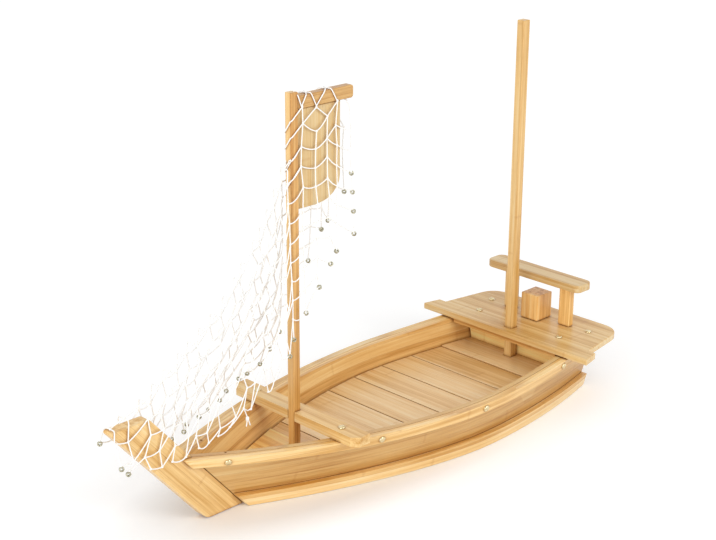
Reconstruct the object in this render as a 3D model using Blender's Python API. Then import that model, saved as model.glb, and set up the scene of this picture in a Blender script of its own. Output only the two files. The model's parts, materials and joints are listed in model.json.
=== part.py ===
"""Bamboo serving boat with a stern deck, two lift-out masts and a draped cord net.

Sizes are in millimetres and are scaled to metres when a mesh is made.
+X runs to the stern, -Y is the port side, +Z is up, and the boat stands on z = 0.
"""
import math

import bmesh
import bpy
from mathutils import Matrix, Vector

MM = 0.001
CLEARANCE = 0.3          # between pieces that touch
SLIDE_CLEARANCE = 0.4    # round each lift-out mast

# Stem board, raked forward
STEM_TOP = 126.0
STEM_RUN_PER_RISE = 0.865
STEM_FOOT_FRONT = -219.1
STEM_WIDTH = 45.5        # measured level
STEM_THICKNESS = 14.0
STEM_NOSE_RADIUS = 11.0
STEM_HEAD_RADIUS = 4.5
STEM_TIP_RADIUS = 2.6

# Side planks: half-breadths of the outer face at the top and at the foot
STERN_END = 300.0
WIDEST_AT = 99.0
PLANK_THICKNESS = 6.5
TOP_HALF_WIDEST = 97.0
TOP_HALF_STERN = 74.8
FOOT_HALF_WIDEST = 85.7
FOOT_HALF_STERN = 57.8
TOP_BOW_POWER = 1.9
TOP_STERN_POWER = 1.4
FOOT_BOW_POWER = 1.65
FOOT_STERN_POWER = 2.0
SHEER_LOW = 59.7         # height of the top edge where it is lowest
SHEER_LOW_AT = 85.0
BOW_RISE = 12.8
DECK_SEAT = 63.0         # height of the top edge under the deck
HULL_STATIONS = 22

# Strips nailed along the sides
RAIL_THICKNESS = 9.0
RAIL_HEIGHT = 11.2
RAIL_OVERRUN = 12.0      # past the planks' ends, beside the stem
CHINE_THICKNESS = 7.0
CHINE_HEIGHT = 15.5

# Floor
FLOOR_TOP = 33.2
FLOOR_THICKNESS = 6.0
END_BOARD_PROUD = 1.6    # bow and stern boards stand above the planks
PLANK_PITCH = 45.8
FLOOR_GAP = 1.4
STERN_BOARD_FRONT = 206.5
BOW_BOARD_BACK = -89.0
BOW_BOARD_TIP_HALF = 5.0
FLOOR_SIDE_GAP = 0.5
BEARER_WIDTH = 14.0
BEARER_HEIGHT = 12.0
BEARER_HALF_SPACING = 22.0
BEARER_LAP = 12.0        # how far the bearers reach under the bow board

# Bulkhead and deck
BULKHEAD_FRONT = 251.0
BULKHEAD_THICKNESS = 9.0
BULKHEAD_FOOT = 4.0
DECK_FRONT = 225.5
DECK_BACK = 325.0
DECK_THICKNESS = 7.3
DECK_WING_HALF = 122.0
DECK_WING_BACK_HALF = 117.0
DECK_WING_LENGTH = 22.5
DECK_SIDE_HALF = 107.0
DECK_BACK_HALF = 94.5
DECK_CORNER_RADIUS = 24.0
BATTEN_SETBACK = 2.5
BATTEN_WIDTH = 8.0
BATTEN_HEIGHT = 5.0

# Thwart across the rails
THWART_FRONT = -102.3
THWART_WIDTH = 20.8
THWART_THICKNESS = 10.0
THWART_HALF_LENGTH = 92.0
THWART_CORNER_CUT = 7.0

# Masts and sail
FORE_MAST_SIDE = 9.0
FORE_MAST_TOP = 401.7
BOOM_TOP_DROP = 4.0
BOOM_END = -20.2
BOOM_HEIGHT = 13.0
BOOM_WIDTH = 9.0
BOOM_END_RADIUS = 3.0
SAIL_BACK = -36.5
SAIL_BOTTOM = 285.8
SAIL_THICKNESS = 6.0
SAIL_CORNER_X = 33.0
SAIL_CORNER_Z = 24.0
AFT_MAST_SIDE = 10.0
AFT_MAST_AT = 242.0
AFT_MAST_TOP = 427.0
MAST_FOOT_DEPTH = 6.0    # how far a mast's foot goes into its floor board

# Gate rail and cabin block on the deck
GATE_AT = 291.5
GATE_POST_X = 8.0
GATE_POST_Y = 15.5
GATE_POST_HALF_SPACING = 40.6
GATE_POST_HEIGHT = 48.4
GATE_BAR_AT = 289.0
GATE_BAR_WIDTH = 27.5
GATE_BAR_HALF_LENGTH = 68.0
GATE_BAR_THICKNESS = 8.7
GATE_BAR_CORNER_RADIUS = 8.0
CABIN_FRONT = 274.2
CABIN_LENGTH = 26.4
CABIN_WIDTH = 24.4
CABIN_HEIGHT = 31.0

# Brass dome nails
NAIL_HEAD_RADIUS = 3.7
NAIL_HEAD_HEIGHT = 2.1
NAIL_SHANK_RADIUS = 1.1
NAIL_GRIP = 4.5          # how far a shank goes into the piece below
NAIL_SIDES = 10
NAIL_DOME_ANGLES = (0, 28, 56)
RAIL_NAILS_AT = (-209.0, -56.5, 78.0, 221.0)
DECK_FRONT_NAIL_HALF = 59.5
DECK_BACK_NAIL_AT = 293.0
ARC_STEPS = 6
FLOOR_EDGE_STEP = 12.0
HALVINGS = 40            # of a search for a point on the hull
SMOOTH_BELOW = 40.0      # degrees between faces

# Cord net: draped over the boom, down to the stem head, the thwart and the starboard rail
NET_CORD = 1.4
NET_LIFT = 0.5           # cord's clearance above what it lies on
NET_COLUMNS_ON_BOOM = 4
NET_COLUMNS_TO_STEM = 14
NET_PORT_ROWS = 5
NET_STARBOARD_ROWS = 8
NET_SIDE_CLEARANCE = 1.2
NET_LEAVES_MAST_AT = 334.0
NET_RAIL_CLEARANCE = 1.0
NET_BOOM_INSET = 5.0     # from the boom's end to the net's last cord
NET_HEAD_INSET = 6.0     # from the stem's tip to the net's first cord
NET_FLARE_POWER = 1.3    # how late a flap leaves the fold's plane
NET_RIDGE = ((-118.0, 306.0), (-132.0, 279.0), (-159.0, 243.0), (-176.0, 221.0), (-204.0, 197.0),
             (-240.0, 172.0))
NET_PORT_HANG = 10.5
NET_PORT_AT_HEAD = 91.0
NET_PORT_AFT = ((-24.2, 248.0), (-48.0, 236.0), (-90.7, 186.0))
NET_PORT_FORE = ((-104.9, 164.0), (-121.0, 133.0), (-146.0, 111.0), (-172.0, 94.0), (-206.0, 85.0),
                 (-243.0, 78.0), (-272.0, 76.0), (-300.0, 82.0))
NET_STARBOARD_AFT = ((-24.2, 10.0, 286.0), (-37.0, 14.0, 259.0), (-50.0, 28.0, 218.0))
NET_STARBOARD_FORE = ((-67.0, 50.0, 146.0), (-71.0, 62.0, 118.0), (-73.5, 77.0, 97.0))
BEAD_RADIUS = 2.6
BEAD_SIDES = 8

BAMBOO_PALE = (0.78, 0.55, 0.28)
BAMBOO_WARM = (0.70, 0.44, 0.19)
BAMBOO_FLOOR = (0.74, 0.52, 0.29)
BRASS = (0.80, 0.63, 0.30)
CORD_WHITE = (0.90, 0.89, 0.85)


def clear_scene():
    for item in list(bpy.data.objects):
        bpy.data.objects.remove(item, do_unlink=True)


def make_material(name, colour, roughness, metallic=0.0):
    material = bpy.data.materials.new(name)
    material.use_nodes = True
    shader = material.node_tree.nodes["Principled BSDF"]
    shader.inputs["Base Color"].default_value = (*colour, 1.0)
    shader.inputs["Roughness"].default_value = roughness
    shader.inputs["Metallic"].default_value = metallic
    return material


def add_object(name, mesh_builder, colour, roughness=0.45, metallic=0.0, origin=(0.0, 0.0, 0.0)):
    """Turns a bmesh in millimetres into a named object in metres, with its origin at the given point."""
    mesh = bpy.data.meshes.new(name)
    bmesh.ops.recalc_face_normals(mesh_builder, faces=mesh_builder.faces)
    place = Matrix.Translation(Vector(origin) * MM)
    mesh_builder.transform(place.inverted() @ Matrix.Scale(MM, 4))
    mesh_builder.to_mesh(mesh)
    mesh_builder.free()
    mesh.shade_smooth()
    mesh.set_sharp_from_angle(angle=math.radians(SMOOTH_BELOW))
    item = bpy.data.objects.new(name, mesh)
    item.location = place.translation
    bpy.context.collection.objects.link(item)
    mesh.materials.append(make_material(name + "_finish", colour, roughness, metallic))
    return item


def add_loft(target, rings):
    """Skins a run of closed rings of equal point count and caps both ends."""
    loops = [[target.verts.new(point) for point in ring] for ring in rings]
    count = len(loops[0])
    for lower, upper in zip(loops, loops[1:]):
        for i in range(count):
            j = (i + 1) % count
            target.faces.new((lower[i], lower[j], upper[j], upper[i]))
    target.faces.new(reversed(loops[0]))
    target.faces.new(loops[-1])


def loft(rings):
    target = bmesh.new()
    add_loft(target, rings)
    return target


def plate(outline, low, high):
    """A board: an outline in x and y, from z = low to z = high."""
    return loft([[(x, y, z) for x, y in outline] for z in (low, high)])


def profile_board(outline, low, high):
    """A board in the centre plane: an outline in x and z, from y = low to y = high."""
    return loft([[(x, y, z) for x, z in outline] for y in (low, high)])


def block(low, high):
    (x0, y0, z0), (x1, y1, z1) = low, high
    return plate([(x0, y0), (x1, y0), (x1, y1), (x0, y1)], z0, z1)


def arc(centre, radii, start, end):
    """Points on an elliptical arc, angles in degrees."""
    points = []
    for step in range(ARC_STEPS + 1):
        angle = math.radians(start + (end - start) * step / ARC_STEPS)
        points.append((centre[0] + radii[0] * math.cos(angle), centre[1] + radii[1] * math.sin(angle)))
    return points


def fillet(before, corner, after, radius):
    """Points of an arc that rounds the corner between two straight edges."""
    corner = Vector(corner)
    to_before = (Vector(before) - corner).normalized()
    to_after = (Vector(after) - corner).normalized()
    half_angle = to_before.angle(to_after) / 2
    centre = corner + (to_before + to_after).normalized() * (radius / math.sin(half_angle))
    first = corner + to_before * (radius / math.tan(half_angle)) - centre
    last = corner + to_after * (radius / math.tan(half_angle)) - centre
    turn = math.pi - 2 * half_angle
    points = []
    for step in range(ARC_STEPS + 1):
        share = step / ARC_STEPS
        spoke = first * math.sin((1 - share) * turn) + last * math.sin(share * turn)
        points.append(tuple(centre + spoke / math.sin(turn)))
    return points


def cut(item, cutter):
    modifier = item.modifiers.new(cutter.name, "BOOLEAN")
    modifier.operation = "DIFFERENCE"
    modifier.solver = "EXACT"
    modifier.object = cutter


def add_cutter(name, mesh_builder):
    cutter = add_object(name, mesh_builder, BRASS)
    cutter.hide_render = True
    cutter.display_type = "WIRE"
    return cutter


# Hull form


def stem_front(z):
    return STEM_FOOT_FRONT - z * STEM_RUN_PER_RISE


def stem_back(z):
    return stem_front(z) + STEM_WIDTH


BOW_HEIGHT = SHEER_LOW + BOW_RISE
TOP_BOW_X = stem_back(BOW_HEIGHT) + CLEARANCE
FOOT_BOW_X = stem_back(0.0) + CLEARANCE


def sheer(x):
    """Height of the sides' top edge, lowest amidships and level under the deck."""
    height = SHEER_LOW + BOW_RISE * ((SHEER_LOW_AT - x) / (SHEER_LOW_AT - TOP_BOW_X)) ** 2
    return height if x < SHEER_LOW_AT else min(height, DECK_SEAT)


def curve_half(x, bow_x, bow_half, widest_half, stern_half, bow_power, stern_power):
    """Half-breadth of a fore-and-aft curve and its slope."""
    if x < WIDEST_AT:
        run = WIDEST_AT - bow_x
        share = (WIDEST_AT - x) / run
        fall = widest_half - bow_half
        return widest_half - fall * share ** bow_power, fall * bow_power * share ** (bow_power - 1) / run
    run = STERN_END - WIDEST_AT
    share = (x - WIDEST_AT) / run
    fall = widest_half - stern_half
    return widest_half - fall * share ** stern_power, -fall * stern_power * share ** (stern_power - 1) / run


BOW_SLOPE = TOP_HALF_WIDEST * TOP_BOW_POWER / (WIDEST_AT - TOP_BOW_X)
BOW_HALF = PLANK_THICKNESS * math.hypot(1.0, BOW_SLOPE) + CLEARANCE / 2


def top_half(x):
    return curve_half(x, TOP_BOW_X, BOW_HALF, TOP_HALF_WIDEST, TOP_HALF_STERN, TOP_BOW_POWER,
                      TOP_STERN_POWER)


def foot_half(x):
    return curve_half(x, FOOT_BOW_X, BOW_HALF, FOOT_HALF_WIDEST, FOOT_HALF_STERN, FOOT_BOW_POWER,
                      FOOT_STERN_POWER)


def side_point(share, z, outward):
    """A starboard point at a share of the hull's length and a height, outward of the planks' outer face."""
    foot_x = FOOT_BOW_X + (STERN_END - FOOT_BOW_X) * share
    top_x = TOP_BOW_X + (STERN_END - TOP_BOW_X) * share
    up = z / sheer(top_x)
    foot_y, foot_slope = foot_half(foot_x)
    top_y, top_slope = top_half(top_x)
    slope = foot_slope + (top_slope - foot_slope) * up
    y = foot_y + (top_y - foot_y) * up + outward * math.hypot(1.0, slope)
    return Vector((foot_x + (top_x - foot_x) * up, y, z))


def side_sheer(share):
    return sheer(TOP_BOW_X + (STERN_END - TOP_BOW_X) * share)


def share_at(x, z):
    """The share of the hull's length at which a height has the given x."""
    low, high = 0.0, 1.0
    for _ in range(HALVINGS):
        middle = (low + high) / 2
        if side_point(middle, z, 0.0).x < x:
            low = middle
        else:
            high = middle
    return (low + high) / 2


def inner_half(x, z):
    return side_point(share_at(x, z), z, -PLANK_THICKNESS).y


def rail_outer_half(x):
    return side_point(share_at(x, sheer(x)), sheer(x), CLEARANCE + RAIL_THICKNESS).y


def plank_middle(x):
    """Half-breadth of the middle of the side plank's top, where nails from above go in."""
    return side_point(share_at(x, sheer(x)), sheer(x), -PLANK_THICKNESS / 2).y


def stations():
    return [i / HULL_STATIONS for i in range(HULL_STATIONS + 1)]


def side_strip(side, shares, levels_of, inner, outer):
    """A strip that follows one side of the hull, through some heights and between two distances outward."""
    rings = []
    for share in shares:
        nearest = 0.0 if share >= 0.0 else STEM_THICKNESS / 2 + CLEARANCE
        levels = levels_of(share)
        corners = [(z, outer) for z in levels] + [(z, inner) for z in reversed(levels)]
        points = [side_point(share, z, outward) for z, outward in corners]
        rings.append([(x, side * max(y, nearest), z) for x, y, z in points])
    return loft(rings)


def plank_levels(share):
    return [0.0, CHINE_HEIGHT, side_sheer(share) - RAIL_HEIGHT, side_sheer(share)]


SIDES = (("port", -1), ("starboard", 1))


def build_stem():
    half = STEM_THICKNESS / 2
    top = STEM_TOP
    foot_front = (stem_front(0.0), 0.0)
    head_front = (stem_front(top), top)
    head_back = (stem_back(top), top)
    foot_back = (stem_back(0.0), 0.0)
    outline = fillet(head_front, foot_front, foot_back, STEM_NOSE_RADIUS)
    outline.append(foot_back)
    outline += fillet(foot_back, head_back, head_front, STEM_HEAD_RADIUS)
    outline += fillet(head_back, head_front, foot_front, STEM_TIP_RADIUS)
    add_object("stem_board", profile_board(outline, -half, half), BAMBOO_PALE)


def build_sides():
    rails = []
    planks = []
    rail_shares = [-RAIL_OVERRUN / (STERN_END - TOP_BOW_X)] + stations()
    for name, side in SIDES:
        plank = side_strip(side, stations(), plank_levels, -PLANK_THICKNESS, 0.0)
        planks.append(add_object("side_plank_" + name, plank, BAMBOO_WARM))
        rail = side_strip(side, rail_shares, lambda s: plank_levels(s)[2:], CLEARANCE,
                          CLEARANCE + RAIL_THICKNESS)
        rails.append(add_object("rail_strip_" + name, rail, BAMBOO_PALE))
        chine = side_strip(side, stations(), lambda s: plank_levels(s)[:2], CLEARANCE,
                           CLEARANCE + CHINE_THICKNESS)
        add_object("chine_strip_" + name, chine, BAMBOO_PALE)
    return rails, planks


# Floor


FLOOR_BOTTOM = FLOOR_TOP - FLOOR_THICKNESS
FORE_MAST_AT = THWART_FRONT + FORE_MAST_SIDE / 2
MAST_FOOT = FLOOR_TOP + END_BOARD_PROUD - MAST_FOOT_DEPTH


def floor_outline(front, back):
    """Plan of a floor board whose ends follow the inside of the sides."""
    steps = max(2, round((back - front) / FLOOR_EDGE_STEP))
    edge = []
    for i in range(steps + 1):
        x = front + (back - front) * i / steps
        edge.append((x, inner_half(x, FLOOR_BOTTOM) - FLOOR_SIDE_GAP))
    return [(x, -y) for x, y in edge] + edge[::-1]


def where_inner_half(half, z):
    """Where the space between the sides first has the given half-breadth, aft of the stem."""
    low, high = side_point(0.0, z, 0.0).x, WIDEST_AT
    for _ in range(HALVINGS):
        middle = (low + high) / 2
        if inner_half(middle, z) < half:
            low = middle
        else:
            high = middle
    return high


def build_floor():
    tip = where_inner_half(BOW_BOARD_TIP_HALF + FLOOR_SIDE_GAP, FLOOR_BOTTOM)
    outline = floor_outline(tip, BOW_BOARD_BACK)
    bow = plate(outline, FLOOR_BOTTOM, FLOOR_TOP + END_BOARD_PROUD)
    bow_board = add_object("bow_floor_board", bow, BAMBOO_FLOOR)
    back = STERN_BOARD_FRONT
    number = 0
    while back - FLOOR_GAP > BOW_BOARD_BACK + FLOOR_GAP:
        number += 1
        front = max(back - PLANK_PITCH, BOW_BOARD_BACK)
        plank = plate(floor_outline(front + FLOOR_GAP / 2, back - FLOOR_GAP / 2), FLOOR_BOTTOM, FLOOR_TOP)
        add_object(f"floor_plank_{number}", plank, BAMBOO_FLOOR)
        back = front
    stern = plate(floor_outline(STERN_BOARD_FRONT, BULKHEAD_FRONT - CLEARANCE), FLOOR_BOTTOM,
                  FLOOR_TOP + END_BOARD_PROUD)
    stern_board = add_object("stern_floor_board", stern, BAMBOO_FLOOR)
    bearer_top = FLOOR_BOTTOM - CLEARANCE
    bearer_low = bearer_top - BEARER_HEIGHT
    bearer_outer = BEARER_HALF_SPACING + BEARER_WIDTH / 2
    bearer_front = max(BOW_BOARD_BACK - BEARER_LAP, where_inner_half(bearer_outer + CLEARANCE, bearer_low))
    for name, side in SIDES:
        centre = side * BEARER_HALF_SPACING
        bearer = block((bearer_front, centre - BEARER_WIDTH / 2, bearer_low),
                       (BULKHEAD_FRONT - CLEARANCE, centre + BEARER_WIDTH / 2, bearer_top))
        add_object("floor_bearer_" + name, bearer, BAMBOO_WARM)
    return bow_board, stern_board


# Deck


DECK_BOTTOM = DECK_SEAT + CLEARANCE
DECK_TOP = DECK_BOTTOM + DECK_THICKNESS


def deck_outline():
    wing_back = DECK_FRONT + DECK_WING_LENGTH
    back_corner = (DECK_BACK, DECK_BACK_HALF)
    side_start = (wing_back, DECK_SIDE_HALF)
    half = [(DECK_FRONT, DECK_WING_HALF), (wing_back, DECK_WING_BACK_HALF), side_start]
    half += fillet(side_start, back_corner, (DECK_BACK, 0.0), DECK_CORNER_RADIUS)
    return half + [(x, -y) for x, y in half[::-1]]


def build_deck():
    deck = add_object("stern_deck", plate(deck_outline(), DECK_BOTTOM, DECK_TOP), BAMBOO_PALE)
    back = BULKHEAD_FRONT + BULKHEAD_THICKNESS
    edge = []
    for i in range(ARC_STEPS + 1):
        z = BULKHEAD_FOOT + (DECK_SEAT - BULKHEAD_FOOT) * i / ARC_STEPS
        edge.append((inner_half(back, z) - FLOOR_SIDE_GAP, z))
    section = edge + [(-y, z) for y, z in reversed(edge)]
    rings = [[(x, y, z) for y, z in section] for x in (BULKHEAD_FRONT, back)]
    bulkhead = add_object("stern_bulkhead", loft(rings), BAMBOO_WARM)
    batten_front = DECK_FRONT + BATTEN_SETBACK
    batten_low = DECK_SEAT - BATTEN_HEIGHT
    batten_half = inner_half(batten_front + BATTEN_WIDTH, batten_low) - CLEARANCE
    batten = block((batten_front, -batten_half, batten_low),
                   (batten_front + BATTEN_WIDTH, batten_half, DECK_SEAT))
    add_object("deck_batten", batten, BAMBOO_WARM)
    return deck, bulkhead


def build_gate():
    post_foot = DECK_TOP + CLEARANCE
    post_top = post_foot + GATE_POST_HEIGHT
    for name, side in SIDES:
        centre = side * GATE_POST_HALF_SPACING
        post = block((GATE_AT - GATE_POST_X / 2, centre - GATE_POST_Y / 2, post_foot),
                     (GATE_AT + GATE_POST_X / 2, centre + GATE_POST_Y / 2, post_top))
        add_object("gate_post_" + name, post, BAMBOO_PALE)
    front = GATE_BAR_AT - GATE_BAR_WIDTH / 2
    back = GATE_BAR_AT + GATE_BAR_WIDTH / 2
    end = GATE_BAR_HALF_LENGTH
    corners = [(front, -end), (back, -end), (back, end), (front, end)]
    outline = []
    for i, corner in enumerate(corners):
        outline += fillet(corners[i - 1], corner, corners[(i + 1) % 4], GATE_BAR_CORNER_RADIUS)
    low = post_top + CLEARANCE
    add_object("gate_bar", plate(outline, low, low + GATE_BAR_THICKNESS), BAMBOO_PALE)
    cabin = block((CABIN_FRONT, -CABIN_WIDTH / 2, post_foot),
                  (CABIN_FRONT + CABIN_LENGTH, CABIN_WIDTH / 2, post_foot + CABIN_HEIGHT))
    add_object("cabin_block", cabin, BAMBOO_WARM)


# Thwart


THWART_BOTTOM = sheer(THWART_FRONT) + CLEARANCE
THWART_TOP = THWART_BOTTOM + THWART_THICKNESS
THWART_BACK = THWART_FRONT + THWART_WIDTH


def build_thwart():
    notch_half = FORE_MAST_SIDE / 2 + SLIDE_CLEARANCE
    notch_back = FORE_MAST_AT + notch_half
    end = THWART_HALF_LENGTH
    cut_front = THWART_FRONT + THWART_CORNER_CUT
    outline = [(THWART_FRONT, -notch_half), (notch_back, -notch_half), (notch_back, notch_half),
               (THWART_FRONT, notch_half), (THWART_FRONT, end - THWART_CORNER_CUT), (cut_front, end),
               (THWART_BACK, end), (THWART_BACK, -end), (cut_front, -end),
               (THWART_FRONT, THWART_CORNER_CUT - end)]
    return add_object("fore_thwart", plate(outline, THWART_BOTTOM, THWART_TOP), BAMBOO_PALE)


# Masts and sail


BOOM_TOP = FORE_MAST_TOP - BOOM_TOP_DROP
BOOM_BOTTOM = BOOM_TOP - BOOM_HEIGHT
MAST_BACK = FORE_MAST_AT + FORE_MAST_SIDE / 2


def mast(centre_x, side, top):
    half = side / 2
    return block((centre_x - half, -half, MAST_FOOT), (centre_x + half, half, top))


def mast_socket(name, centre_x, side, top):
    """A square hole that guides a mast, closed below its foot."""
    half = side / 2 + SLIDE_CLEARANCE
    foot = MAST_FOOT - CLEARANCE
    return add_cutter(name, block((centre_x - half, -half, foot), (centre_x + half, half, top)))


def build_masts():
    fore_origin = (FORE_MAST_AT, 0.0, MAST_FOOT)
    fore_mast = mast(FORE_MAST_AT, FORE_MAST_SIDE, FORE_MAST_TOP)
    add_object("fore_mast", fore_mast, BAMBOO_WARM, origin=fore_origin)
    front = MAST_BACK + CLEARANCE
    boom = [(front, BOOM_BOTTOM)]
    boom += fillet((front, BOOM_BOTTOM), (BOOM_END, BOOM_BOTTOM), (BOOM_END, BOOM_TOP), BOOM_END_RADIUS)
    boom += fillet((BOOM_END, BOOM_BOTTOM), (BOOM_END, BOOM_TOP), (front, BOOM_TOP), BOOM_END_RADIUS)
    boom.append((front, BOOM_TOP))
    boom_solid = profile_board(boom, -BOOM_WIDTH / 2, BOOM_WIDTH / 2)
    add_object("boom", boom_solid, BAMBOO_WARM, origin=fore_origin)
    sail_top = BOOM_BOTTOM - CLEARANCE
    sail = [(front, SAIL_BOTTOM)]
    corner_centre = (SAIL_BACK - SAIL_CORNER_X, SAIL_BOTTOM + SAIL_CORNER_Z)
    sail += arc(corner_centre, (SAIL_CORNER_X, SAIL_CORNER_Z), -90, 0)
    sail += [(SAIL_BACK, sail_top), (front, sail_top)]
    sail_solid = profile_board(sail, -SAIL_THICKNESS / 2, SAIL_THICKNESS / 2)
    add_object("sail_panel", sail_solid, BAMBOO_PALE, origin=fore_origin)
    add_object("aft_mast", mast(AFT_MAST_AT, AFT_MAST_SIDE, AFT_MAST_TOP), BAMBOO_PALE,
               origin=(AFT_MAST_AT, 0.0, MAST_FOOT))


# Nails


def frame_on(point, outward):
    """A frame at a point on a face, with its z axis out of the face."""
    return Matrix.Translation(point) @ Vector(outward).to_track_quat("Z", "Y").to_matrix().to_4x4()


def ring(radius, z):
    angles = [2 * math.pi * i / NAIL_SIDES for i in range(NAIL_SIDES)]
    return [(radius * math.cos(angle), radius * math.sin(angle), z) for angle in angles]


def add_nail(target, frame, length):
    """A dome head just off the face and a shank that goes in."""
    rings = [ring(NAIL_SHANK_RADIUS, -length), ring(NAIL_SHANK_RADIUS, CLEARANCE)]
    for angle in NAIL_DOME_ANGLES:
        turn = math.radians(angle)
        rings.append(ring(NAIL_HEAD_RADIUS * math.cos(turn), CLEARANCE + NAIL_HEAD_HEIGHT * math.sin(turn)))
    add_loft(target, [[frame @ Vector(point) for point in row] for row in rings])


def add_nail_hole(target, frame, length):
    radius = NAIL_SHANK_RADIUS + CLEARANCE
    rings = [ring(radius, -length - CLEARANCE), ring(radius, NAIL_HEAD_HEIGHT)]
    add_loft(target, [[frame @ Vector(point) for point in row] for row in rings])


def build_nails(name, frames, length, pieces):
    """A row of nails and their holes in the pieces that they join."""
    holes = bmesh.new()
    for number, frame in enumerate(frames, 1):
        nail = bmesh.new()
        add_nail(nail, frame, length)
        add_object(f"{name}_{number}", nail, BRASS, roughness=0.25, metallic=1.0)
        add_nail_hole(holes, frame, length)
    cutter = add_cutter(name + "_holes", holes)
    for piece in pieces:
        cut(piece, cutter)


def rail_nail_frames(side):
    frames = []
    for x in RAIL_NAILS_AT:
        z = sheer(x) - RAIL_HEIGHT / 2
        share = share_at(x, z)
        outward = CLEARANCE + RAIL_THICKNESS
        step = 1 / HULL_STATIONS
        point = side_point(share, z, outward)
        fore, aft = max(share - step, 0.0), min(share + step, 1.0)
        ahead = side_point(aft, z, outward) - side_point(fore, z, outward)
        above = side_point(share, sheer(x), outward) - point
        normal = above.cross(ahead).normalized()
        point.y *= side
        frames.append(frame_on(point, (normal.x, abs(normal.y) * side, normal.z)))
    return frames


# Net


def along(points, share):
    """A point at a share of a polyline's length."""
    lengths = [(b - a).length for a, b in zip(points, points[1:])]
    left = share * sum(lengths)
    for a, b, length in zip(points, points[1:], lengths):
        if left <= length:
            return a.lerp(b, left / length)
        left -= length
    return points[-1].copy()


def spread(points, count):
    return [along(points, i / (count - 1)) for i in range(count)]


def net_ridge(lift):
    """The fold line: along the boom, then free from the mast down to the stem head."""
    boom_line = BOOM_TOP + lift
    mast_front = THWART_FRONT - NET_SIDE_CLEARANCE - NET_CORD
    mast_aft = MAST_BACK + NET_SIDE_CLEARANCE + NET_CORD
    head = STEM_TOP + lift
    head_front = stem_front(STEM_TOP) + NET_HEAD_INSET
    on_boom = [Vector((BOOM_END - NET_BOOM_INSET, 0, boom_line)), Vector((mast_aft, 0, boom_line))]
    free = [Vector((mast_front, 0, NET_LEAVES_MAST_AT))] + [Vector((x, 0, z)) for x, z in NET_RIDGE]
    free += [Vector((stem_back(STEM_TOP), 0, head + STEM_THICKNESS)), Vector((head_front, 0, head))]
    return on_boom, free


def net_port_edge():
    """The port edge: down beside the sail, then forward over the bow to the stem's face."""
    aft = [Vector((x, -NET_PORT_HANG, z)) for x, z in NET_PORT_AFT]
    fore = [Vector((x, -NET_PORT_HANG, z)) for x, z in NET_PORT_FORE]
    fore.append(Vector((stem_front(STEM_TOP) + NET_HEAD_INSET, -NET_PORT_HANG, NET_PORT_AT_HEAD)))
    return aft, fore


def net_starboard_edge(lift):
    """The starboard edge: across to the thwart's end, then along outside the rail to the stem's face."""
    rail_lift = NET_RAIL_CLEARANCE + lift
    hang = NET_SIDE_CLEARANCE + BEAD_RADIUS
    thwart_end = THWART_HALF_LENGTH + hang
    fore = [Vector(point) for point in NET_STARBOARD_FORE]
    fore.append(Vector((THWART_BACK, thwart_end, THWART_TOP + rail_lift)))
    fore.append(Vector((THWART_FRONT, thwart_end - THWART_CORNER_CUT / 2, THWART_TOP + rail_lift)))
    for step in (0.25, 0.5, 0.75):
        x = THWART_FRONT + (TOP_BOW_X - THWART_FRONT) * step
        fore.append(Vector((x, rail_outer_half(x) + hang, sheer(x) + rail_lift)))
    outside = STEM_THICKNESS / 2 + hang
    fore.append(Vector((TOP_BOW_X, outside + hang, BOW_HEIGHT + hang)))
    fore.append(Vector((stem_back(STEM_TOP), outside, STEM_TOP - STEM_THICKNESS)))
    fore.append(Vector((stem_front(STEM_TOP) + NET_HEAD_INSET, outside, STEM_TOP - STEM_THICKNESS)))
    return [Vector(point) for point in NET_STARBOARD_AFT], fore


def net_lines():
    """The net's fold line and two edges, a point for each column, from the boom's end to the stem head."""
    lift = NET_CORD / 2 + NET_LIFT
    lines = []
    for on_boom, free in (net_ridge(lift), net_port_edge(), net_starboard_edge(lift)):
        lines.append(spread(on_boom, NET_COLUMNS_ON_BOOM) + spread(free, NET_COLUMNS_TO_STEM))
    return lines


def flap_column(fold, edge, shoulder, rows):
    """One hanging cord of a flap, from the shoulder beside the fold line to the edge."""
    side = math.copysign(1.0, edge.y)
    points = [Vector((fold.x, side * shoulder, fold.z))]
    for row in range(rows + 1):
        share = (row + 0.5) / (rows + 0.5)
        point = fold.lerp(edge, share)
        point.y = side * max(shoulder, shoulder + (abs(edge.y) - shoulder) * share ** NET_FLARE_POWER)
        points.append(point)
    return points


def add_bead(target, centre):
    rings = []
    for step in range(1, BEAD_SIDES // 2):
        polar = math.pi * step / (BEAD_SIDES // 2) - math.pi / 2
        radius = BEAD_RADIUS * math.cos(polar)
        rings.append([centre + Vector((radius * math.cos(2 * math.pi * i / BEAD_SIDES),
                                       radius * math.sin(2 * math.pi * i / BEAD_SIDES),
                                       BEAD_RADIUS * math.sin(polar))) for i in range(BEAD_SIDES)])
    add_loft(target, rings)


def thread_beads(net, knots):
    """One bead on each knot of the net's two edges, in one body with the cord."""
    beads = bmesh.new()
    for knot in knots:
        add_bead(beads, knot)
    threaded = net.modifiers.new("beads", "BOOLEAN")
    threaded.operation = "UNION"
    threaded.solver = "EXACT"
    threaded.object = add_cutter("net_beads", beads)


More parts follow.
